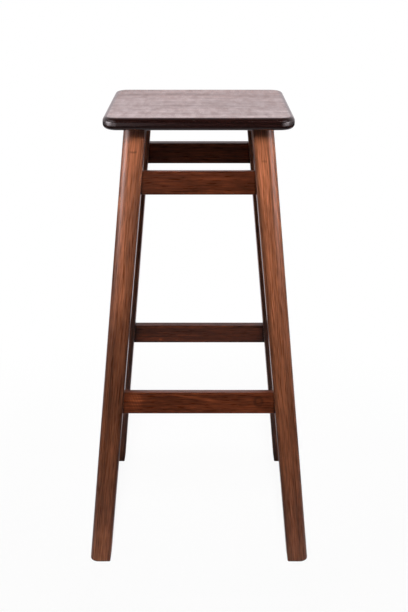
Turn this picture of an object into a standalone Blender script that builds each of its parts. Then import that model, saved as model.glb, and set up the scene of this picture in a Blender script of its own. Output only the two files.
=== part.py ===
"""Bar stool of stained hardwood: splayed legs, tenoned rails and rungs, and a seat of glued boards."""
import math
from collections import namedtuple

import bmesh
import bpy
from mathutils import Matrix

# Seat, in metres like every size here
SEAT_HEIGHT = 0.779
SEAT_WIDTH = 0.301
SEAT_DEPTH = 0.294
SEAT_THICKNESS = 0.0195
SEAT_CORNER_RADIUS = 0.024
SEAT_TOP_ROUND = 0.007
SEAT_UNDER_ROUND = 0.008
SEAT_BOARDS = ("front", "middle", "back")
SEAT_OVERHANG_SIDES = 0.0315
SEAT_OVERHANG_FRONT = 0.028

# Legs: square in every level section, leaning outwards both ways
LEG_SIZE = 0.036
LEG_SPLAY = 0.075
LEG_OUTER_ROUND = 0.015
LEG_EDGE_ROUND = 0.0025
FOOT_CHAMFER = 0.001

# Rails under the seat and rungs for the feet
RAIL_HEIGHT = 0.038
RAIL_THICKNESS = 0.015
RAIL_EDGE_ROUND = 0.0015
RAIL_SETBACK = 0.0065
RAIL_DROP = 0.070
RUNG_SETBACK = 0.0035
RUNG_HEIGHT = 0.278
RUNG_STAGGER = 0.030

# Mortise and tenon joints
TENON_THICKNESS = 0.007
TENON_SHOULDER = 0.006
TENON_HAUNCH = 0.005
MORTISE_WALL = 0.015
JOINT_GAP = 0.0003

# Screws that hold the seat boards on the side rails
SCREW_DIAMETER = 0.004
SCREW_HEAD_DIAMETER = 0.0075
SCREW_HEAD_HEIGHT = 0.0025
SCREW_COVER = 0.007
COUNTERBORE_DEPTH = 0.017

# Facets of the rounded edges, and the angle that still shades as one curve
CORNER_STEPS = 8
SEAT_EDGE_STEPS = 6
ROUND_STEPS = 4
TURNED_STEPS = 16
SMOOTH_ANGLE = math.radians(35)
MERGE_DISTANCE = 0.000001

# Lines that several pieces share
SEAT_UNDERSIDE = SEAT_HEIGHT - SEAT_THICKNESS
LEG_TOP = SEAT_UNDERSIDE - JOINT_GAP
LEG_REACH_TOP = (SEAT_WIDTH / 2 - SEAT_OVERHANG_SIDES, SEAT_DEPTH / 2 - SEAT_OVERHANG_FRONT)
LEG_SLOPE = LEG_SPLAY / LEG_TOP
TILT = math.atan(LEG_SLOPE)
TENON_LENGTH = LEG_SIZE - MORTISE_WALL

# Sides of the stool, as turns about its middle that bring the front to them
SIDE_TURNS = {"front": 0.0, "right": math.pi / 2, "back": math.pi, "left": -math.pi / 2}
LEG_CORNERS = {
    "leg_front_left": (-1, -1),
    "leg_front_right": (1, -1),
    "leg_back_left": (-1, 1),
    "leg_back_right": (1, 1),
}

# side: which side of the stool; height: of its middle; carries_seat: planed level on top
Rail = namedtuple("Rail", "name side height setback carries_seat")


def stool_rails():
    """The eight cross pieces. Those at the sides sit higher, so that mortises don't meet in a leg."""
    half = RAIL_HEIGHT / 2 * math.cos(TILT)
    seat_rail = LEG_TOP - half
    rail = LEG_TOP - RAIL_DROP - half
    rung = RUNG_HEIGHT + half
    side_rung = rung + RAIL_HEIGHT + RUNG_STAGGER
    rails = []
    for side in ("front", "back"):
        rails.append(Rail(f"rail_{side}", side, rail, RAIL_SETBACK, False))
        rails.append(Rail(f"rung_{side}", side, rung, RUNG_SETBACK, False))
    for side in ("left", "right"):
        rails.append(Rail(f"seat_rail_{side}", side, seat_rail, RAIL_SETBACK, True))
        rails.append(Rail(f"rung_{side}", side, side_rung, RUNG_SETBACK, False))
    return rails


def leg_reach(axis, height):
    """Distance from the stool's middle plane to a leg's outer face: axis 0 sideways, 1 to the front."""
    return LEG_REACH_TOP[axis] + LEG_SPLAY - LEG_SLOPE * height


def rail_axis(rail):
    """Axis that a rail runs along: 0 from left to right, 1 from front to back."""
    return 0 if rail.side in ("front", "back") else 1


def shoulder(rail, y, z):
    """Half the rail's length, from its middle to the leg, at a point of its section."""
    height = rail.height + z * math.cos(TILT) - y * math.sin(TILT)
    return leg_reach(rail_axis(rail), height) - LEG_SIZE - JOINT_GAP


def block(low, high):
    """A box between two corners."""
    mesh = bmesh.new()
    bmesh.ops.create_cube(mesh, size=1)
    bmesh.ops.scale(mesh, vec=[b - a for a, b in zip(low, high)], verts=mesh.verts)
    bmesh.ops.translate(mesh, vec=[(a + b) / 2 for a, b in zip(low, high)], verts=mesh.verts)
    return mesh


def round_edges(mesh, edges, radius, steps):
    bmesh.ops.bevel(mesh, geom=edges, offset=radius, segments=steps, profile=0.5, affect="EDGES")


def edges_along(mesh, axis):
    """The edges of a box that run along an axis."""
    found = []
    for edge in mesh.edges:
        first, second = (v.co for v in edge.verts)
        if abs((second - first).normalized()[axis]) > math.cos(SMOOTH_ANGLE):
            found.append(edge)
    return found


def edges_at_height(mesh, height):
    """The outline of a level face."""
    return [e for e in mesh.edges if all(abs(v.co.z - height) < MERGE_DISTANCE for v in e.verts)]


def leg(corner):
    """One leg, from the floor up, with its origin under its outer edge at the floor."""
    x, y = (-LEG_SIZE * sign for sign in corner)
    mesh = block((min(x, 0), min(y, 0), 0), (max(x, 0), max(y, 0), LEG_TOP))
    uprights = edges_along(mesh, 2)
    outer = [e for e in uprights if e.verts[0].co.xy.length < MERGE_DISTANCE]
    inner = [e for e in uprights if e not in outer]
    round_edges(mesh, outer, LEG_OUTER_ROUND, CORNER_STEPS)
    round_edges(mesh, [e for e in inner if e.is_valid], LEG_EDGE_ROUND, ROUND_STEPS)
    round_edges(mesh, edges_at_height(mesh, 0), FOOT_CHAMFER, 1)
    lean = [-LEG_SLOPE * sign for sign in corner]
    mesh.transform(Matrix.Shear("XY", 4, lean))
    return mesh


def bar(rail, thickness, bottom, top, extra):
    """A bar along X whose ends lie along the two legs, a little past its rail's shoulders."""
    mesh = block((-1, -thickness / 2, bottom), (1, thickness / 2, top))
    for vertex in mesh.verts:
        x, y, z = vertex.co
        vertex.co.x = math.copysign(shoulder(rail, y, z) + extra, x)
    return mesh


def rail_body(rail):
    """A rail without its tenons. Its edges are eased, and a seat rail's top is level with the seat."""
    mesh = bar(rail, RAIL_THICKNESS, -RAIL_HEIGHT / 2, RAIL_HEIGHT / 2, 0)
    if rail.carries_seat:
        for vertex in mesh.verts:
            if vertex.co.z > 0:
                vertex.co.z += vertex.co.y * math.tan(TILT)
                vertex.co.x = math.copysign(shoulder(rail, vertex.co.y, vertex.co.z), vertex.co.x)
    round_edges(mesh, edges_along(mesh, 0), RAIL_EDGE_ROUND, ROUND_STEPS // 2)
    return mesh


def tenons(rail, clearance):
    """Both tenons of a rail as one bar through it, or with a clearance the mortises for them."""
    bottom = -RAIL_HEIGHT / 2 + TENON_SHOULDER
    top = RAIL_HEIGHT / 2 - TENON_SHOULDER
    if rail.carries_seat:
        top -= TENON_HAUNCH
    thickness = TENON_THICKNESS + 2 * clearance
    return bar(rail, thickness, bottom - clearance, top + clearance, TENON_LENGTH - JOINT_GAP + clearance)


def seat_slab():
    """The whole seat, standing on its underside, before it is parted into boards."""
    half_width, half_depth = SEAT_WIDTH / 2, SEAT_DEPTH / 2
    mesh = block((-half_width, -half_depth, 0), (half_width, half_depth, SEAT_THICKNESS))
    round_edges(mesh, edges_along(mesh, 2), SEAT_CORNER_RADIUS, CORNER_STEPS)
    round_edges(mesh, edges_at_height(mesh, SEAT_THICKNESS), SEAT_TOP_ROUND, SEAT_EDGE_STEPS)
    round_edges(mesh, edges_at_height(mesh, 0), SEAT_UNDER_ROUND, SEAT_EDGE_STEPS)
    return mesh


def board_span(index):
    """Front and back edge of a seat board, at the middle of its glue joints."""
    width = SEAT_DEPTH / len(SEAT_BOARDS)
    front = -SEAT_DEPTH / 2 + index * width
    return front, front + width


def seat_board(index):
    """One board of the seat, sawn from the slab along its glue joints."""
    mesh = seat_slab()
    for y, facing in zip(board_span(index), (-1, 1)):
        if abs(y) > SEAT_DEPTH / 2 - JOINT_GAP:
            continue
        cut = bmesh.ops.bisect_plane(
            mesh,
            geom=mesh.verts[:] + mesh.edges[:] + mesh.faces[:],
            plane_co=(0, y - facing * JOINT_GAP / 2, 0),
            plane_no=(0, facing, 0),
            clear_outer=True,
        )
        edges = [e for e in cut["geom_cut"] if isinstance(e, bmesh.types.BMEdge)]
        bmesh.ops.contextual_create(mesh, geom=edges)
    return mesh


def turned(profile):
    """A round solid about Z from (radius, height) points that start and end on the axis."""
    mesh = bmesh.new()
    verts = [mesh.verts.new((radius, 0, height)) for radius, height in profile]
    edges = [mesh.edges.new(pair) for pair in zip(verts, verts[1:])]
    bmesh.ops.spin(mesh, geom=verts + edges, axis=(0, 0, 1), angle=math.tau, steps=TURNED_STEPS)
    bmesh.ops.remove_doubles(mesh, verts=mesh.verts, dist=MERGE_DISTANCE)
    bmesh.ops.recalc_face_normals(mesh, faces=mesh.faces)
    return mesh


def screw_heights(rail):
    """Heights on a seat rail's own axis: under its screws' heads, and at their tips."""
    bearing = -RAIL_HEIGHT / 2 + COUNTERBORE_DEPTH
    tip = (SEAT_HEIGHT - SCREW_COVER - rail.height) / math.cos(TILT)
    return bearing, tip


def seat_screw(rail):
    bearing, tip = screw_heights(rail)
    under_head = bearing - JOINT_GAP
    shank = SCREW_DIAMETER / 2
    head = SCREW_HEAD_DIAMETER / 2
    return turned([
        (0, under_head - SCREW_HEAD_HEIGHT),
        (head, under_head - SCREW_HEAD_HEIGHT),
        (head, under_head),
        (shank, under_head),
        (shank, tip - SCREW_DIAMETER),
        (0, tip),
    ])


def screw_bore(rail):
    """Counterbore and pilot hole, open below the rail."""
    bearing, tip = screw_heights(rail)
    pilot = SCREW_DIAMETER / 2 + JOINT_GAP
    counterbore = SCREW_HEAD_DIAMETER / 2 + JOINT_GAP
    return turned([
        (0, -RAIL_HEIGHT),
        (counterbore, -RAIL_HEIGHT),
        (counterbore, bearing),
        (pilot, bearing),
        (pilot, tip + JOINT_GAP),
        (0, tip + JOINT_GAP),
    ])


def screw_places(rail):
    """For each board, how far along a seat rail its screw goes: the middle of where the two meet."""
    end = shoulder(rail, 0, RAIL_HEIGHT / 2)
    direction = math.sin(SIDE_TURNS[rail.side])
    places = []
    for index, name in enumerate(SEAT_BOARDS):
        front, back = board_span(index)
        places.append((name, direction * (max(front, -end) + min(back, end)) / 2))
    return places


def material(name, colour, roughness, metallic=0.0):
    made = bpy.data.materials.new(name)
    made.use_nodes = True
    shader = made.node_tree.nodes["Principled BSDF"]
    shader.inputs["Base Color"].default_value = (*colour, 1)
    shader.inputs["Roughness"].default_value = roughness
    shader.inputs["Metallic"].default_value = metallic
    return made


def add(name, mesh, parent, finish=None):
    """Turns an edit mesh into a named object under a parent."""
    data = bpy.data.meshes.new(name)
    mesh.to_mesh(data)
    mesh.free()
    data.shade_smooth()
    data.set_sharp_from_angle(angle=SMOOTH_ANGLE)
    if finish:
        data.materials.append(finish)
    made = bpy.data.objects.new(name, data)
    bpy.context.scene.collection.objects.link(made)
    made.parent = parent
    return made


def add_cutter(name, mesh, parent):
    made = add(name, mesh, parent)
    made.hide_render = True
    made.display_type = "WIRE"
    return made


def combine(piece, tool, operation):
    modifier = piece.modifiers.new(tool.name, "BOOLEAN")
    modifier.operation = operation
    modifier.solver = "EXACT"
    modifier.object = tool


def place_on_side(piece, rail):
    """Stands a rail, or what goes with it, at its side of the stool, leaning with the legs."""
    turn = SIDE_TURNS[rail.side]
    inset = (rail.setback + RAIL_THICKNESS / 2) / math.cos(TILT)
    distance = leg_reach(1 - rail_axis(rail), rail.height) - inset
    piece.location = (math.sin(turn) * distance, -math.cos(turn) * distance, rail.height)
    piece.rotation_euler = (-TILT, 0, turn)


def add_legs(stool, finish):
    legs = {}
    for name, corner in LEG_CORNERS.items():
        legs[name] = add(name, leg(corner), stool, finish)
        legs[name].location = [sign * leg_reach(axis, 0) for axis, sign in enumerate(corner)] + [0]
    return legs


def add_rails(stool, legs, finish):
    """Every rail with its tenons, and the mortises that they need in the legs of its side."""
    rails = {}
    for rail in stool_rails():
        body = add(rail.name, rail_body(rail), stool, finish)
        tongue = add_cutter(f"{rail.name}_tenons", tenons(rail, 0), stool)
        socket = add_cutter(f"{rail.name}_mortises", tenons(rail, JOINT_GAP), stool)
        for piece in (body, tongue, socket):
            place_on_side(piece, rail)
        combine(body, tongue, "UNION")
        for name, piece in legs.items():
            if rail.side in name:
                combine(piece, socket, "DIFFERENCE")
        rails[rail] = body
    return rails


def add_seat(stool, finish):
    boards = {}
    for index, name in enumerate(SEAT_BOARDS):
        boards[name] = add(f"seat_board_{name}", seat_board(index), stool, finish)
        boards[name].location = (0, 0, SEAT_UNDERSIDE)
    return boards


def add_screws(rails, boards, finish):
    """A screw from each side rail up into each board, in bores along the rail's lean."""
    for rail, body in rails.items():
        if not rail.carries_seat:
            continue
        for name, along in screw_places(rail):
            screw = add(f"seat_screw_{rail.side}_{name}", seat_screw(rail), body, finish)
            bore = add_cutter(f"{screw.name}_bore", screw_bore(rail), body)
            for piece in (screw, bore):
                piece.location = (along, 0, 0)
            combine(body, bore, "DIFFERENCE")
            combine(boards[name], bore, "DIFFERENCE")


def build():
    for old in list(bpy.data.objects):
        bpy.data.objects.remove(old)
    stool = bpy.data.objects.new("bar_stool", None)
    bpy.context.scene.collection.objects.link(stool)
    leg_wood = material("stained_leg_wood", (0.205, 0.083, 0.045), 0.38)
    rail_wood = material("stained_rail_wood", (0.130, 0.042, 0.022), 0.38)
    seat_wood = material("stained_seat_wood", (0.120, 0.047, 0.032), 0.30)
    steel = material("screw_steel", (0.42, 0.41, 0.40), 0.35, 1.0)
    legs = add_legs(stool, leg_wood)
    rails = add_rails(stool, legs, rail_wood)
    boards = add_seat(stool, seat_wood)
    add_screws(rails, boards, steel)


build()
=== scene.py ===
"""Bar stool of stained and varnished wood, on a pale floor in soft studio light."""
import math

import bmesh
import bpy
from mathutils import Matrix, Vector


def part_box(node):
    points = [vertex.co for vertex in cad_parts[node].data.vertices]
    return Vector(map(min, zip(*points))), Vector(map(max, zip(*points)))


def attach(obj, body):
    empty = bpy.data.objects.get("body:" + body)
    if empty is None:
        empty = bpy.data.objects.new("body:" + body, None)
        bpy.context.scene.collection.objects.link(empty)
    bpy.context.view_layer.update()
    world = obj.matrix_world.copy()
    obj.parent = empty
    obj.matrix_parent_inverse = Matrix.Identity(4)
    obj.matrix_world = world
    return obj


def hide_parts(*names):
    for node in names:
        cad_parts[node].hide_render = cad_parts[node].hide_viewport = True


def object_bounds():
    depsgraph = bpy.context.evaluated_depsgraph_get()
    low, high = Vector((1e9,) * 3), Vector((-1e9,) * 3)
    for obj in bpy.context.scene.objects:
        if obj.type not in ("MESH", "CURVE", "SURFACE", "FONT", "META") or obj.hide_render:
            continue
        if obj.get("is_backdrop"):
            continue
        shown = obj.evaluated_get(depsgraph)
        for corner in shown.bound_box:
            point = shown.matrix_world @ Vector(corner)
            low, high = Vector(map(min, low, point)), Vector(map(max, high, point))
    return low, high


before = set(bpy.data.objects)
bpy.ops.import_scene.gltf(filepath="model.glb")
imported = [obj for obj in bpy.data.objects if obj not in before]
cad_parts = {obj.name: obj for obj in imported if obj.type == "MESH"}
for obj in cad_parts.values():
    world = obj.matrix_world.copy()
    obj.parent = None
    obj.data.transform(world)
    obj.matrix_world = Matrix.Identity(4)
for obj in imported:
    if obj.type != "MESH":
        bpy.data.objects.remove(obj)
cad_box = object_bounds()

# The photograph's view: its size in pixels, and the camera that sees the stool as it does
PHOTO_WIDTH = 408
PHOTO_HEIGHT = 612
STOOL_MIDDLE_PIXEL = 201.1
CAMERA_PLACE = (0.0038, -1.6648, 1.0550)
CAMERA_TILT = math.radians(21.09)
FOCAL_PIXELS = 983.9
SENSOR_HEIGHT = 36.0

# Rounded edges: their radius in metres, and how many faces go round them
LEG_OUTER_ROUND = 0.015
LEG_OUTER_STEPS = 16
LEG_EDGE_ROUND = 0.0025
LEG_EDGE_STEPS = 5
FOOT_ROUND = 0.001
FOOT_STEPS = 3
RAIL_EDGE_ROUND = 0.0015
RAIL_EDGE_STEPS = 4
SEAT_CORNER_RADIUS = 0.024
SEAT_CORNER_STEPS = 24
SEAT_TOP_ROUND = 0.007
SEAT_UNDER_ROUND = 0.008
SEAT_EDGE_STEPS = 10
SCREW_STEPS = 32
SHARP_ANGLE = math.radians(40)

# Stain, with painted shade at the legs' line, feet and inner edges and at the rails' ends: how far the
# dark places reach, in metres, and the tone there
LEG_SHADED_EDGE = 0.008
# The legs' feet and inner edges: more stain, and painted shade where they meet the floor and the rails
LEG_EDGE_STAIN_AND_SHADE_TONE = 0.5
# A dark line along each leg where its rounding begins: painted shade
LEG_PAINTED_SHADE_LINE = 0.0121
LEG_PAINTED_SHADE_LINE_WIDTH = 0.0025
LEG_PAINTED_SHADE_TONE = 0.68
# Painted shade at the rails' ends, where they meet the legs
RAIL_PAINTED_SHADE_END = 0.006
RAIL_END_SHADE_TONE = 0.08
SEAT_SHADED_RIM = 0.011
SEAT_DARK_RIM = SEAT_SHADED_RIM * 2 / 7
SEAT_RIM_TONE = 0.115
SEAT_UNDER_TONE = 0.515

# Joints and screws, in metres, and what counts as level, along an axis and flat
JOINT_GAP = 0.0003
BOARD_SWELL = JOINT_GAP / 3
SHOULDER_GAP = 0.00005
SCREW_HEAD_HEIGHT = 0.0025
SCREW_SHANK_RADIUS = 0.002
SCREW_SLOT_WIDTH = 0.0009
SCREW_SLOT_DEPTH = 0.0016
SCREW_SLOT_REACH = 0.62
LEVEL = 0.00001
ALIGNED = 0.9
FLAT = 0.999

# The faint rosy white that shines in the varnish, and where its cards stand
ROSY_WHITE = (1.0, 0.91, 0.95)
SEAT_HEIGHT = cad_box[1].z
CARD_AIM = 0.13
CARD_DISTANCE = 1.35
FLOOR_REACH = 4.0

# Grain: how far on in the wood each further piece is cut, its relief, and the varnish on the seat
LEG_GRAIN_SHIFT = Vector((0.37, 0.11, 0.05))
RAIL_GRAIN_SHIFT = Vector((0.29, 0.13, 0.07))
SEAT_GRAIN_SHIFT = Vector((0.31, 0.02, 0.09))
GRAIN_RELIEF = 0.0003
COAT_IOR = 1.8

# The pieces: boards and rails with their depth of stain, with painted light on the back rail and painted
# shade on the back rung, and legs with the corners they stand at
BODY = "root"
SEAT_BOARDS = {"seat_board_front": 1.0, "seat_board_middle": 0.92, "seat_board_back": 1.06}
LEGS = {
    "leg_front_left": (-1, -1),
    "leg_front_right": (1, -1),
    "leg_back_left": (-1, 1),
    "leg_back_right": (1, 1),
}
# The back rung is made darker as painted shade, and the back rail lighter as painted light against the
# seat's shadow
STAIN_AND_LIGHT_DEPTHS = {"rail_front": 0.60, "rail_back": 1.05, "rung_front": 0.97, "rung_back": 0.6}
HIDDEN_STAIN_DEPTH = 0.7
SIDE_TURNS = {"front": 0.0, "right": math.pi / 2, "back": math.pi, "left": -math.pi / 2}


class Field:
    """A shader value that takes part in Python arithmetic: an expression adds its nodes to the tree."""

    def __init__(self, tree, socket=None):
        self.tree = tree
        self.socket = socket

    def node(self, kind, settings, inputs, output=0):
        """Adds a node: first its settings, then its sockets' values or links."""
        made = self.tree.nodes.new(kind)
        for name, value in settings.items():
            setattr(made, name, value)
        for name, value in inputs.items():
            if isinstance(value, Field):
                self.tree.links.new(value.socket, made.inputs[name])
            else:
                made.inputs[name].default_value = value
        return Field(self.tree, made.outputs[output]) if made.outputs else None

    def output(self, name):
        """Another output of the node that this value comes from."""
        return Field(self.tree, self.socket.node.outputs[name])

    def math(self, operation, *values):
        return self.node("ShaderNodeMath", {"operation": operation}, dict(enumerate(values)))

    def __add__(self, other):
        return self.math("ADD", self, other)

    def __sub__(self, other):
        return self.math("SUBTRACT", self, other)

    def __rsub__(self, other):
        return self.math("SUBTRACT", other, self)

    def __mul__(self, other):
        return self.math("MULTIPLY", self, other)

    def __rpow__(self, other):
        return self.math("POWER", other, self)

    __radd__ = __add__
    __rmul__ = __mul__

    def stretched(self, *factors):
        """A vector with its axes scaled, for patterns that run along the wood."""
        return self.node("ShaderNodeVectorMath", {"operation": "MULTIPLY"}, {0: self, 1: factors})

    def from_point(self, *point):
        """A vector counted from another point."""
        return self.node("ShaderNodeVectorMath", {"operation": "SUBTRACT"}, {0: self, 1: point})

    def plus(self, other):
        """The sum of two vectors."""
        return self.node("ShaderNodeVectorMath", {"operation": "ADD"}, {0: self, 1: other})

    def length(self):
        return self.node("ShaderNodeVectorMath", {"operation": "LENGTH"}, {0: self}, output="Value")

    def spot(self, centre, size):
        """1 in the middle of an oval spot round a point, and 0 outside it."""
        near = self.from_point(*centre).stretched(*[1 / half for half in size])
        return 1.0 - near.length().between(0.4, 1.0)

    def parts(self):
        """The three numbers of a vector."""
        apart = self.node("ShaderNodeSeparateXYZ", {}, {0: self})
        return [apart.output(name) for name in "XYZ"]

    def noise(self, detail):
        """Soft noise over this vector, that swings about 0."""
        inputs = {"Vector": self, "Scale": 1.0, "Detail": detail}
        return self.node("ShaderNodeTexNoise", {"noise_dimensions": "3D"}, inputs) - 0.5

    def between(self, low, high):
        """0 below low, 1 above high, and a smooth step from one to the other."""
        inputs = {"Value": self, "From Min": low, "From Max": high}
        return self.node("ShaderNodeMapRange", {"interpolation_type": "SMOOTHSTEP"}, inputs)

    def blend(self, first, second):
        """A colour that goes from the first to the second as this value goes from 0 to 1."""
        inputs = {"Factor": self, 6: first, 7: second}
        return self.node("ShaderNodeMix", {"data_type": "RGBA"}, inputs, output=2)

    def times(self, colour):
        """A colour made darker or lighter by this value."""
        return self.node("ShaderNodeVectorMath", {"operation": "SCALE"}, {0: colour, "Scale": self})


def block(low, high):
    """A box between two corners."""
    mesh = bmesh.new()
    bmesh.ops.create_cube(mesh, size=1)
    bmesh.ops.scale(mesh, vec=[b - a for a, b in zip(low, high)], verts=mesh.verts)
    bmesh.ops.translate(mesh, vec=[(a + b) / 2 for a, b in zip(low, high)], verts=mesh.verts)
    return mesh


def round_edges(mesh, edges, radius, steps):
    bmesh.ops.bevel(
        mesh, geom=edges, offset=radius, segments=steps, profile=0.5, affect="EDGES", material=-1
    )


def edges_along(mesh, axis):
    """The edges that run along an axis."""
    found = []
    for edge in mesh.edges:
        first, second = (v.co for v in edge.verts)
        if abs((second - first).normalized()[axis]) > ALIGNED:
            found.append(edge)
    return found


def edges_at_height(mesh, height):
    return [e for e in mesh.edges if all(abs(v.co.z - height) < LEVEL for v in e.verts)]


def slice_at(mesh, place, facing, clear_outer=False):
    """Cuts a mesh along a plane. What lies beyond it can be taken away, and the cut closed."""
    cut = bmesh.ops.bisect_plane(
        mesh,
        geom=mesh.verts[:] + mesh.edges[:] + mesh.faces[:],
        plane_co=place,
        plane_no=facing,
        clear_outer=clear_outer,
    )
    if clear_outer:
        edges = [e for e in cut["geom_cut"] if isinstance(e, bmesh.types.BMEdge)]
        bmesh.ops.contextual_create(mesh, geom=edges)


def link_object(name, mesh):
    data = bpy.data.meshes.new(name)
    mesh.to_mesh(data)
    mesh.free()
    made = bpy.data.objects.new(name, data)
    bpy.context.scene.collection.objects.link(made)
    return made


def carve(mesh, tools):
    """The mesh with the tools' shapes taken out of it."""
    body = link_object("carved", mesh)
    cutters = [link_object("cutter", tool) for tool in tools]
    for cutter in cutters:
        modifier = body.modifiers.new("cut", "BOOLEAN")
        modifier.operation = "DIFFERENCE"
        modifier.solver = "EXACT"
        modifier.object = cutter
    result = bmesh.new()
    result.from_object(body, bpy.context.evaluated_depsgraph_get())
    for done in [body] + cutters:
        bpy.data.objects.remove(done)
    return result


def keep_grain(mesh, along, shift, stain):
    """Stores each point's place in the wood, with the grain first, and how dark it is stained."""
    place = mesh.verts.layers.float_vector.new("grain")
    tone = mesh.verts.layers.float.new("tone")
    order = [along] + [axis for axis in range(3) if axis != along]
    for vertex in mesh.verts:
        vertex[place] = Vector([vertex.co[axis] for axis in order]) + shift
        vertex[tone] = stain(vertex.co)


def add_piece(name, mesh, finishes, node):
    """Makes a finished piece of an edit mesh, which stands for a CAD node."""
    piece = link_object(name, mesh)
    piece.data.shade_smooth()
    piece.data.set_sharp_from_angle(angle=SHARP_ANGLE)
    for finish in finishes:
        piece.data.materials.append(finish)
    even = piece.modifiers.new("even_shading", "WEIGHTED_NORMAL")
    even.keep_sharp = True
    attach(piece, BODY)
    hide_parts(node)


class Stance:
    """The lines of the splayed frame, read from a packed leg."""

    def __init__(self):
        points = [v.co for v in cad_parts["leg_front_right"].data.vertices]
        self.top = max(p.z for p in points)
        upper = [p for p in points if self.top - p.z < LEVEL]
        self.size = max(p.x for p in upper) - min(p.x for p in upper)
        self.reach_top = (max(p.x for p in upper), -min(p.y for p in upper))
        widest = max(points, key=lambda p: p.x)
        self.slope = (widest.x - self.reach_top[0]) / (self.top - widest.z)
        self.tilt = math.atan(self.slope)

    def reach(self, axis, height):
        """From the middle to a leg's outer face: axis 0 to the side, 1 to the front."""
        return self.reach_top[axis] + self.slope * (self.top - height)

    def turned(self, side):
        """Turns a piece that is modelled upright at the front to its own side and lean."""
        return Matrix.Rotation(SIDE_TURNS[side], 4, "Z") @ Matrix.Rotation(-self.tilt, 4, "X")

    def extent(self, node, side):
        """A CAD node's two far corners, as it would lie upright at the front."""
        back = self.turned(side).inverted()
        points = [back @ v.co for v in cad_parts[node].data.vertices]
        return [Vector([pick(p[i] for p in points) for i in range(3)]) for pick in (min, max)]


def make_leg(stance, name, corner, finish, order):
    """A square leg, well rounded on its outer edge and sheared to its splay."""
    x, y = (-stance.size * sign for sign in corner)
    mesh = block((min(x, 0), min(y, 0), 0), (max(x, 0), max(y, 0), stance.top))
    uprights = edges_along(mesh, 2)
    outer = [e for e in uprights if e.verts[0].co.xy.length < LEVEL]
    inner = [e for e in uprights if e not in outer]
    round_edges(mesh, outer, LEG_OUTER_ROUND, LEG_OUTER_STEPS)
    round_edges(mesh, [e for e in inner if e.is_valid], LEG_EDGE_ROUND, LEG_EDGE_STEPS)
    round_edges(mesh, edges_at_height(mesh, 0), FOOT_ROUND, FOOT_STEPS)
    slice_at(mesh, (0, 0, 3 * FOOT_ROUND), (0, 0, 1))
    inset = stance.size - LEG_SHADED_EDGE
    slice_at(mesh, (-inset * corner[0], 0, 0), (1, 0, 0))
    slice_at(mesh, (0, -inset * corner[1], 0), (0, 1, 0))

    def stain(point):
        """End grain at the foot and the sharp inner edges drink more stain, with painted shade added
        where the feet meet the floor and the rails meet the legs. The dark line where the rounding
        begins is painted shade.
        """
        inwards = [abs(place) for place in point.xy]
        to_faces = [min(place, stance.size - place) for place in inwards]
        if point.z < 2 * FOOT_ROUND or max(to_faces) < LEG_EDGE_ROUND + LEVEL:
            return LEG_EDGE_STAIN_AND_SHADE_TONE
        from_line = abs(max(inwards) - LEG_PAINTED_SHADE_LINE) / LEG_PAINTED_SHADE_LINE_WIDTH
        return LEG_PAINTED_SHADE_TONE + (1.0 - LEG_PAINTED_SHADE_TONE) * min(1.0, from_line)

    keep_grain(mesh, 2, order * LEG_GRAIN_SHIFT, stain)
    mesh.transform(Matrix.Shear("XY", 4, [-stance.slope * sign for sign in corner]))
    foot = [sign * stance.reach(axis, 0) for axis, sign in enumerate(corner)]
    mesh.transform(Matrix.Translation((*foot, 0)))
    add_piece(f"{name}_wood", mesh, [finish], name)


def make_rail(stance, name, finish, order, depth):
    """A rail or rung at its own lean, with its ends cut to the legs and the bores for its screws."""
    side = name.split("_")[-1]
    along = 0 if side in ("front", "back") else 1
    turned = stance.turned(side)
    low, high = stance.extent(name, side)
    mesh = block(low, high)
    carries_seat = name.startswith("seat_rail")
    for vertex in mesh.verts:
        if carries_seat and vertex.co.z > (low.z + high.z) / 2:
            vertex.co.z = (stance.top + vertex.co.y * math.sin(stance.tilt)) / math.cos(stance.tilt)
        end = stance.reach(along, (turned @ vertex.co).z) - stance.size - SHOULDER_GAP
        vertex.co.x = math.copysign(end, vertex.co.x)
    round_edges(mesh, edges_along(mesh, 0), RAIL_EDGE_ROUND, RAIL_EDGE_STEPS)
    reach = max(v.co.x for v in mesh.verts)
    for inset in (0.3 * RAIL_PAINTED_SHADE_END, RAIL_PAINTED_SHADE_END):
        for sign in (-1, 1):
            slice_at(mesh, (sign * (reach - inset), 0, 0), (1, 0, 0))
    if carries_seat:
        mesh = carve(mesh, screw_bores(stance, side, low.z))

    def stain(point):
        """The ends are darkened with painted shade where they meet the legs, over the piece's depth of
        stain.
        """
        share = (reach - abs(point.x)) / RAIL_PAINTED_SHADE_END
        return depth * min(1.0, RAIL_END_SHADE_TONE + (1.0 - RAIL_END_SHADE_TONE) * share)

    keep_grain(mesh, 0, order * RAIL_GRAIN_SHIFT, stain)
    mesh.transform(turned)
    add_piece(f"{name}_wood", mesh, [finish], name)


def screws_on(side):
    return [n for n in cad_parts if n.startswith(f"seat_screw_{side}")]


def screw_bores(stance, side, bottom):
    """A round hole in the rail's underside for the head of each screw."""
    bores = []
    for name in screws_on(side):
        low, high = stance.extent(name, side)
        radius = (high.x - low.x) / 2 + JOINT_GAP
        roof = low.z + SCREW_HEAD_HEIGHT + JOINT_GAP
        floor = bottom - radius
        bore = bmesh.new()
        bmesh.ops.create_cone(
            bore,
            cap_ends=True,
            segments=SCREW_STEPS,
            radius1=radius,
            radius2=radius,
            depth=roof - floor,
        )
        middle = (low + high) / 2
        bmesh.ops.translate(bore, vec=(middle.x, middle.y, (roof + floor) / 2), verts=bore.verts)
        bores.append(bore)
    return bores


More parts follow.
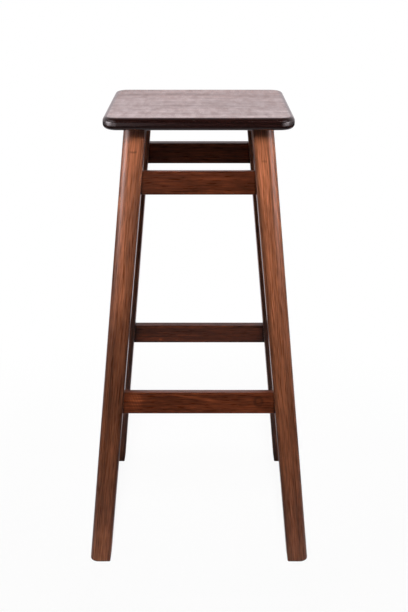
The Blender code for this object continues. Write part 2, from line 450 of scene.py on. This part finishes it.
def make_screw(stance, name, side, finish):
    """A pan head screw with a cross slot, driven up through a side rail."""
    low, high = stance.extent(name, side)
    head = (high.x - low.x) / 2
    length = high.z - low.z
    profile = [
        (0, 0),
        (0.55 * head, 0),
        (0.85 * head, 0.12 * SCREW_HEAD_HEIGHT),
        (head, 0.45 * SCREW_HEAD_HEIGHT),
        (head, SCREW_HEAD_HEIGHT),
        (SCREW_SHANK_RADIUS, SCREW_HEAD_HEIGHT),
        (SCREW_SHANK_RADIUS, length - 2 * SCREW_SHANK_RADIUS),
        (0, length),
    ]
    mesh = bmesh.new()
    verts = [mesh.verts.new((radius, 0, height)) for radius, height in profile]
    edges = [mesh.edges.new(pair) for pair in zip(verts, verts[1:])]
    bmesh.ops.spin(
        mesh,
        geom=verts + edges,
        axis=(0, 0, 1),
        angle=math.tau,
        steps=SCREW_STEPS,
        use_merge=True,
    )
    bmesh.ops.remove_doubles(mesh, verts=mesh.verts, dist=LEVEL)
    bmesh.ops.recalc_face_normals(mesh, faces=mesh.faces)
    arm = SCREW_SLOT_REACH * head
    half = SCREW_SLOT_WIDTH / 2
    slots = [
        block((-x, -y, -SCREW_SLOT_DEPTH), (x, y, SCREW_SLOT_DEPTH))
        for x, y in ((arm, half), (half, arm))
    ]
    mesh = carve(mesh, slots)
    middle = (low + high) / 2
    mesh.transform(stance.turned(side) @ Matrix.Translation((middle.x, middle.y, low.z)))
    add_piece(f"{name}_steel", mesh, [finish], name)


def make_seat(top_finish, edge_finish):
    """The seat's boards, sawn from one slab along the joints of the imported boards. They reach a
    little further than those, which leaves fine glue lines."""
    low = Vector([min(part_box(n)[0][i] for n in SEAT_BOARDS) for i in range(3)])
    high = Vector([max(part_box(n)[1][i] for n in SEAT_BOARDS) for i in range(3)])
    middle = (low + high) / 2

    def stain(point):
        """The rim is shaded darker, from a little way in on the top and down round the edges."""
        past = [abs(point[i] - middle[i]) - high[i] + middle[i] + SEAT_CORNER_RADIUS for i in (0, 1)]
        outside = Vector([max(distance, 0.0) for distance in past]).length
        inwards = SEAT_CORNER_RADIUS - outside - min(max(past), 0.0)
        share = (inwards - SEAT_DARK_RIM) / (SEAT_SHADED_RIM - SEAT_DARK_RIM)
        flat_tone = 1.0 if point.z > middle.z else SEAT_UNDER_TONE
        return SEAT_RIM_TONE + (flat_tone - SEAT_RIM_TONE) * min(max(share, 0.0), 1.0)

    for order, (name, shade) in enumerate(SEAT_BOARDS.items()):
        mesh = block(low, high)
        round_edges(mesh, edges_along(mesh, 2), SEAT_CORNER_RADIUS, SEAT_CORNER_STEPS)
        round_edges(mesh, edges_at_height(mesh, high.z), SEAT_TOP_ROUND, SEAT_EDGE_STEPS)
        round_edges(mesh, edges_at_height(mesh, low.z), SEAT_UNDER_ROUND, SEAT_EDGE_STEPS)
        flats = [f for f in mesh.faces if abs(f.normal.z) > FLAT and len(f.verts) > 4]
        bmesh.ops.inset_individual(
            mesh, faces=flats, thickness=SEAT_SHADED_RIM - SEAT_TOP_ROUND, use_even_offset=True
        )
        for corner, facing in zip(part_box(name), (-1, 1)):
            if low.y + LEVEL < corner.y < high.y - LEVEL:
                slice_at(mesh, (0, corner.y + facing * BOARD_SWELL, 0), (0, facing, 0), True)
        for face in mesh.faces:
            face.material_index = 0 if face.normal.z > FLAT else 1
        keep_grain(mesh, 0, order * SEAT_GRAIN_SHIFT, lambda point: shade * stain(point))
        add_piece(f"{name}_wood", mesh, [top_finish, edge_finish], name)


def new_material(name):
    made = bpy.data.materials.new(name)
    made.use_nodes = True
    made.node_tree.nodes.clear()
    return made, Field(made.node_tree)


def varnished_wood(name, colour, figure, gloss, relief, shine, coat=0.0, sway=0.004, marks=None):
    """Stained wood under varnish. The figure has four patterns, each with how many there are to the
    metre along and across the grain, and how strongly it shows."""
    made, tree = new_material(name)
    place = tree.node("ShaderNodeAttribute", {"attribute_name": "grain"}, {}, output="Vector")
    tone = tree.node("ShaderNodeAttribute", {"attribute_name": "tone"}, {}, output="Fac")
    wander = place.stretched(9, 45, 45).noise(1.0)
    bent = place.plus(wander.times((0.0, sway, sway)))
    clouds, bands, streaks, flecks = [
        bent.stretched(along, across, across).noise(2.0) for along, across, _ in figure
    ]
    patterns = zip((clouds, bands, streaks, flecks), figure)
    pores = flecks.between(0.10, 0.22)
    strength = sum(pattern * share for pattern, (_, _, share) in patterns) - 0.4 * pores
    shade = 2.0 ** strength * tone
    if marks:
        shade = shade * marks(tree, place)
    height = bands + streaks - 0.3 * pores
    bump = tree.node(
        "ShaderNodeBump", {}, {"Strength": relief, "Distance": GRAIN_RELIEF, "Height": height}
    )
    inputs = {
        "Base Color": shade.times(colour),
        "Roughness": gloss + streaks * 0.2 + pores * 0.1,
        "Specular IOR Level": shine,
        "Normal": bump,
    }
    if coat:
        worn = 1.1 - 0.28 * place.parts()[1].between(-0.15, 0.15)
        sheen = place.stretched(90, 26, 26).noise(3.0)
        inputs["Coat Weight"] = coat * worn * (1.0 + 0.7 * sheen + 0.55 * clouds + 0.35 * bands)
        inputs["Coat Roughness"] = gloss
        inputs["Coat IOR"] = COAT_IOR
    shader = tree.node("ShaderNodeBsdfPrincipled", {}, inputs)
    tree.node("ShaderNodeOutputMaterial", {}, {"Surface": shader})
    return made


def leg_marks(tree, place):
    """All legs are paler high up and at the foot: painted light, where more light falls high up and the
    floor lights the feet. The front ones have marks of their own: a knot, a speck and darker lengths; a
    dark line where the rounding begins and a darker outer edge below the highlight, both painted shade;
    paler places high on the rounded edges, painted light; and worn or paler places. Each is placed by
    its height and how far in it lies from the outer face."""
    def on_left(height, inwards):
        return (height, inwards, 0.0)

    def on_right(height, inwards):
        return LEG_GRAIN_SHIFT + Vector((height, -inwards, 0.0))

    turn = place.from_point(*on_left(0.7262, 0.0190)).stretched(190, 120, 10).length()
    ring = turn.between(0.55, 0.9) * (1.0 - turn.between(1.0, 1.5))
    knot = ring * place.spot(on_left(0.7190, 0.0190), (0.0070, 0.0095, 0.02))
    speck = place.spot(on_right(0.7068, 0.0197), (0.0026, 0.0060, 0.02))
    cloud = place.spot(on_left(0.5600, 0.0330), (0.1300, 0.0200, 0.03))
    patch = place.spot(on_left(0.5631, 0.0240), (0.0260, 0.0080, 0.02))
    worn = place.spot(on_left(0.6399, 0.0035), (0.0160, 0.0040, 0.02))
    chafed = place.spot(on_left(0.5515, 0.0037), (0.0220, 0.0040, 0.02))
    pale = place.spot(on_right(0.6687, 0.0260), (0.0450, 0.0140, 0.02))
    deep = place.spot(on_left(0.3600, 0.0180), (0.1500, 0.0600, 0.06))
    # Darker on the left leg's outer edge below its highlight: painted shade
    edge = place.spot(on_left(0.5400, 0.0020), (0.1000, 0.0110, 0.02))
    # The right leg's dark line where its rounding begins: painted shade
    line = place.spot(on_right(0.6700, LEG_PAINTED_SHADE_LINE), (0.0800, 0.0028, 0.02))
    # Paler high on the right leg's rounded edge: painted light where the side lamp falls
    painted_edge_light_right = place.spot(on_right(0.7300, 0.0015), (0.0450, 0.0075, 0.02))
    shin = place.spot(on_right(0.2200, 0.0180), (0.2000, 0.0500, 0.05))
    # Paler high on the left leg's rounded edge: painted light where the side lamp falls
    painted_edge_light_left = place.spot(on_left(0.7150, 0.0040), (0.0700, 0.0090, 0.02))
    # The left foot made paler: painted light from the floor
    painted_foot_light = place.spot(on_left(0.0200, 0.0180), (0.0800, 0.0500, 0.05))
    dark = (1.0 - 0.5 * knot) * (1.0 - 0.3 * speck) * (1.0 - 0.2 * cloud) * (1.0 - 0.25 * patch)
    dark = dark * (1.0 - 0.4 * edge) * (1.0 - 0.35 * line)
    light = 1.0 + 0.7 * worn + 0.6 * chafed + 0.25 * pale + 0.45 * painted_edge_light_right + 0.3 * painted_edge_light_left
    light = light + 0.18 * shin + 0.2 * painted_foot_light
    height = tree.node("ShaderNodeTexCoord", {}, {}, output="Object").parts()[2]
    # Painted light: paler high up, where more light falls, and at the feet, lit by the floor
    painted_light_fade = 0.77 + 0.23 * height.between(0.25, 0.48) + 0.27 * (1.0 - height.between(0.02, 0.12))
    return painted_light_fade * dark * light * (1.0 - 0.40 * deep)


def rail_marks(tree, _):
    """A rippled pale end, a slanting feather of light grain, a curl and drops of resin on the rungs."""
    place = tree.node("ShaderNodeTexCoord", {}, {}, output="Object")
    side, _, height = place.parts()
    ripple = 0.7 + 0.3 * side.math("SINE", side * 1400 + height * 500)
    end = place.spot((-0.1078, -0.1606, 0.3025), (0.0150, 0.02, 0.0220)) * ripple
    line = height - 0.3151 + 0.16 * (side + 0.0567)
    feather = 1.0 - line.math("ABSOLUTE", line).between(0.0006, 0.0032)
    feather = feather * place.spot((-0.0057, -0.1602, 0.3070), (0.0620, 0.02, 0.0200))
    turn = place.from_point(0.1015, -0.1608, 0.3007).stretched(110, 10, 95).length()
    curl = turn.between(0.2, 0.65) * (1.0 - turn.between(0.7, 1.2))
    resin = place.spot((-0.0774, 0.1474, 0.2843), (0.0045, 0.02, 0.0035))
    drop = place.spot((-0.0454, 0.1476, 0.2820), (0.0035, 0.02, 0.0028))
    light = 1.0 + 0.8 * end + 1.0 * feather + 0.9 * resin + 0.7 * drop
    return light * (1.0 - 0.42 * curl)


def steel(name):
    made, tree = new_material(name)
    place = tree.node("ShaderNodeTexCoord", {}, {}, output="Object")
    marks = place.stretched(600, 600, 80).noise(3.0) + 0.5
    shader = tree.node(
        "ShaderNodeBsdfPrincipled",
        {},
        {
            "Base Color": marks.blend((0.30, 0.29, 0.28, 1), (0.48, 0.47, 0.46, 1)),
            "Metallic": 1.0,
            "Roughness": 0.3 + marks * 0.2,
        },
    )
    tree.node("ShaderNodeOutputMaterial", {}, {"Surface": shader})
    return made


def pale_floor():
    """A white sheet under the stool. The camera sees it white, with the stool's soft shadow, and the
    varnish mirrors it: white behind the stool, half as bright close in front and dim further off."""
    made, tree = new_material("white_sheet")
    path = tree.node("ShaderNodeLightPath", {}, {})
    camera = path.output("Is Camera Ray")
    glossy = path.output("Is Glossy Ray")
    place = tree.node("ShaderNodeTexCoord", {}, {}, output="Object")
    side, depth, _ = place.parts()
    paper = camera.blend((0.35, 0.35, 0.35, 1), (0.9, 0.9, 0.9, 1))
    matt = tree.node("ShaderNodeBsdfDiffuse", {}, {"Color": paper})
    near = (1.0 - place.length().between(0.15, 1.0)) * (1.0 - depth.between(0.0, 0.25))
    behind = depth.between(0.1, 0.5) * (1.0 - depth.between(2.4, 2.9))
    behind = behind * (1.0 - side.math("ABSOLUTE", side).between(0.5, 1.5))
    mirrored = side.math("MAXIMUM", 0.02 + 0.55 * near, behind)
    light = (camera + glossy * mirrored).times(glossy.blend((1, 1, 1, 1), (*ROSY_WHITE, 1)))
    glow = tree.node("ShaderNodeEmission", {}, {"Color": light, "Strength": 1.0})
    share = camera * (0.94 + 0.06 * place.length().between(0.3, 0.9)) + glossy
    both = tree.node("ShaderNodeMixShader", {}, {0: share, 1: matt, 2: glow})
    tree.node("ShaderNodeOutputMaterial", {}, {"Surface": both})
    mesh = bmesh.new()
    bmesh.ops.create_grid(mesh, x_segments=1, y_segments=1, size=FLOOR_REACH)
    floor = link_object("floor", mesh)
    floor.data.materials.append(made)
    floor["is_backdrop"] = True


def add_lamp(name, place, aim, size, power, spread=180):
    """A rectangular lamp that the camera doesn't see."""
    lamp = bpy.data.lights.new(name, "AREA")
    lamp.shape = "RECTANGLE"
    lamp.size, lamp.size_y = size
    lamp.energy = power
    lamp.spread = math.radians(spread)
    made = bpy.data.objects.new(name, lamp)
    made.location = place
    made.rotation_euler = (Vector(aim) - Vector(place)).to_track_quat("-Z", "Y").to_euler()
    made.visible_camera = False
    bpy.context.scene.collection.objects.link(made)
    return made


def add_card(name, round_from_front, height, size, brightness):
    """A card that only mirrors in the varnish, brightest in its middle and fading out to its rim. It
    stands round a front corner of the seat, which it faces: to the right at an angle above 0."""
    angle = math.radians(round_from_front)
    corner = Vector((math.copysign(CARD_AIM, angle), -CARD_AIM, min(height, SEAT_HEIGHT)))
    place = corner + CARD_DISTANCE * Vector((math.sin(angle), -math.cos(angle), 0))
    place.z = height
    card = add_lamp(name, place, corner, size, brightness * math.pi * size[0] * size[1])
    card.visible_diffuse = False
    card.data.use_nodes = True
    card.data.node_tree.nodes.clear()
    tree = Field(card.data.node_tree)
    spot = tree.node("ShaderNodeNewGeometry", {}, {}, output="Parametric")
    from_middle = spot.from_point(0.5, 0.5, 0.0).stretched(2.0, 2.0, 0.0).length()
    fading = (1.0 - from_middle.between(0.1, 1.0)).times(ROSY_WHITE)
    glow = tree.node("ShaderNodeEmission", {}, {"Color": fading, "Strength": 1.0})
    tree.node("ShaderNodeOutputLight", {}, {"Surface": glow})


def surroundings():
    """White to the camera. The wood has white behind the stool and a dim room in front."""
    world = bpy.data.worlds.new("studio")
    bpy.context.scene.world = world
    world.use_nodes = True
    world.node_tree.nodes.clear()
    tree = Field(world.node_tree)
    _, depth, height = tree.node("ShaderNodeTexCoord", {}, {}, output="Generated").parts()
    path = tree.node("ShaderNodeLightPath", {}, {})
    camera, glossy, clear = (
        path.output(f"Is {ray} Ray") for ray in ("Camera", "Glossy", "Transmission")
    )
    behind = 0.012 + 0.988 * depth.between(-0.35, 0.15) * (1.0 - 0.7 * height.between(0.5, 0.9))
    lit = behind * (0.22 + 0.78 * glossy)
    seen = camera.math("MAXIMUM", camera, clear)
    light = (seen + (1.0 - seen) * lit).times(glossy.blend((1, 1, 1, 1), (*ROSY_WHITE, 1)))
    sky = tree.node("ShaderNodeBackground", {}, {"Color": light, "Strength": 1.0})
    tree.node("ShaderNodeOutputWorld", {}, {"Surface": sky})


def soft_boxes():
    """The light on the wood itself, which the varnish doesn't mirror."""
    boxes = [
        add_lamp("soft_box_front", (0.0, -1.75, 2.15), (0, 0, 0.78), (0.12, 0.9), 6.2, 50),
        add_lamp("soft_box_above", (0.0, 0.1, 2.3), (0, 0, 0.78), (0.8, 0.8), 0.7, 60),
        add_lamp("soft_box_left", (-1.6, -0.3, 1.0), (0, 0, 0.85), (0.6, 0.7), 1.3, 60),
        add_lamp("soft_box_right", (1.6, -0.3, 1.0), (0, 0, 0.85), (0.6, 0.7), 1.2, 60),
        add_lamp("soft_box_back", (0.0, 1.9, 1.1), (0, 0, 0.45), (0.9, 0.9), 2.5, 70),
    ]
    for box in boxes:
        box.visible_glossy = False


def mirrored_cards():
    """The highlights in the varnish: bright cards at the sides, and weaker ones round the front."""
    add_card("card_left", -72, 0.69, (1.8, 0.54), 15.0)
    add_card("card_left_wide", -22, 0.50, (0.8, 0.50), 2.0)
    add_card("card_left_low", -6, 0.52, (0.34, 0.20), 2.2)
    add_card("card_left_front", -40, 0.56, (2.2, 0.60), 2.2)
    add_card("card_left_middle", -45, 1.05, (2.2, 0.80), 0.9)
    add_card("card_left_high", -52, 1.62, (2.2, 0.90), 2.8)
    add_card("card_right", 66, 0.71, (1.3, 0.50), 13.0)
    add_card("card_right_low", 40, 0.53, (1.3, 0.26), 6.0)
    add_card("card_right_front", 42, 0.58, (1.6, 0.60), 0.5)
    add_card("card_right_middle", 42, 1.05, (1.6, 0.80), 0.9)
    add_card("card_right_high", 40, 1.58, (1.6, 0.90), 3.0)


def photo_camera():
    lens = bpy.data.cameras.new("photo_camera")
    lens.sensor_fit = "VERTICAL"
    lens.sensor_height = SENSOR_HEIGHT
    lens.lens = FOCAL_PIXELS / PHOTO_HEIGHT * SENSOR_HEIGHT
    lens.shift_x = (PHOTO_WIDTH / 2 - STOOL_MIDDLE_PIXEL) / PHOTO_HEIGHT
    made = bpy.data.objects.new("photo_camera", lens)
    made.location = CAMERA_PLACE
    made.rotation_euler = (math.pi / 2 - CAMERA_TILT, 0, 0)
    bpy.context.scene.collection.objects.link(made)
    bpy.context.scene.camera = made


def dress():
    """Puts a finished piece in the place of every CAD node."""
    stance = Stance()
    leg_figure = ((6, 45, 1.3), (2.5, 260, 2.2), (20, 700, 2.9), (45, 600, 2.4))
    leg_wood = varnished_wood(
        "leg_wood", (0.240, 0.079, 0.036), leg_figure, 0.29, 0.1, shine=0.30, marks=leg_marks
    )
    rail_figure = ((14, 90, 2.2), (8, 300, 2.6), (40, 700, 2.2), (70, 600, 2.2))
    rail_wood = varnished_wood(
        "rail_wood", (0.098, 0.0235, 0.0085), rail_figure, 0.30, 0.4, shine=0.24, marks=rail_marks
    )
    seat_colour = (0.118, 0.041, 0.025)
    seat_figure = ((5, 34, 1.2), (22, 110, 1.2), (8, 420, 1.8), (60, 800, 2.2))
    seat_top = varnished_wood(
        "seat_wood", seat_colour, seat_figure, 0.17, 0.12, shine=0.0, coat=1.0, sway=0.0015
    )
    seat_edge = varnished_wood(
        "seat_edge_wood", (0.084, 0.0225, 0.0165), seat_figure, 0.24, 0.02, shine=0.55
    )
    for order, (name, corner) in enumerate(LEGS.items()):
        make_leg(stance, name, corner, leg_wood, order)
    rails = [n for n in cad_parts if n.startswith(("rail_", "rung_", "seat_rail_"))]
    for order, name in enumerate(sorted(rails)):
        make_rail(stance, name, rail_wood, order, STAIN_AND_LIGHT_DEPTHS.get(name, HIDDEN_STAIN_DEPTH))
    make_seat(seat_top, seat_edge)
    screw_steel = steel("screw_steel")
    for side in ("left", "right"):
        for name in screws_on(side):
            make_screw(stance, name, side, screw_steel)


dress()
pale_floor()
surroundings()
soft_boxes()
mirrored_cards()
photo_camera()
bpy.context.scene.view_settings.view_transform = "Standard"
boxes = {"cad": cad_box, "visual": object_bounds()}
{name: [list(corner) for corner in box] for name, box in boxes.items()}
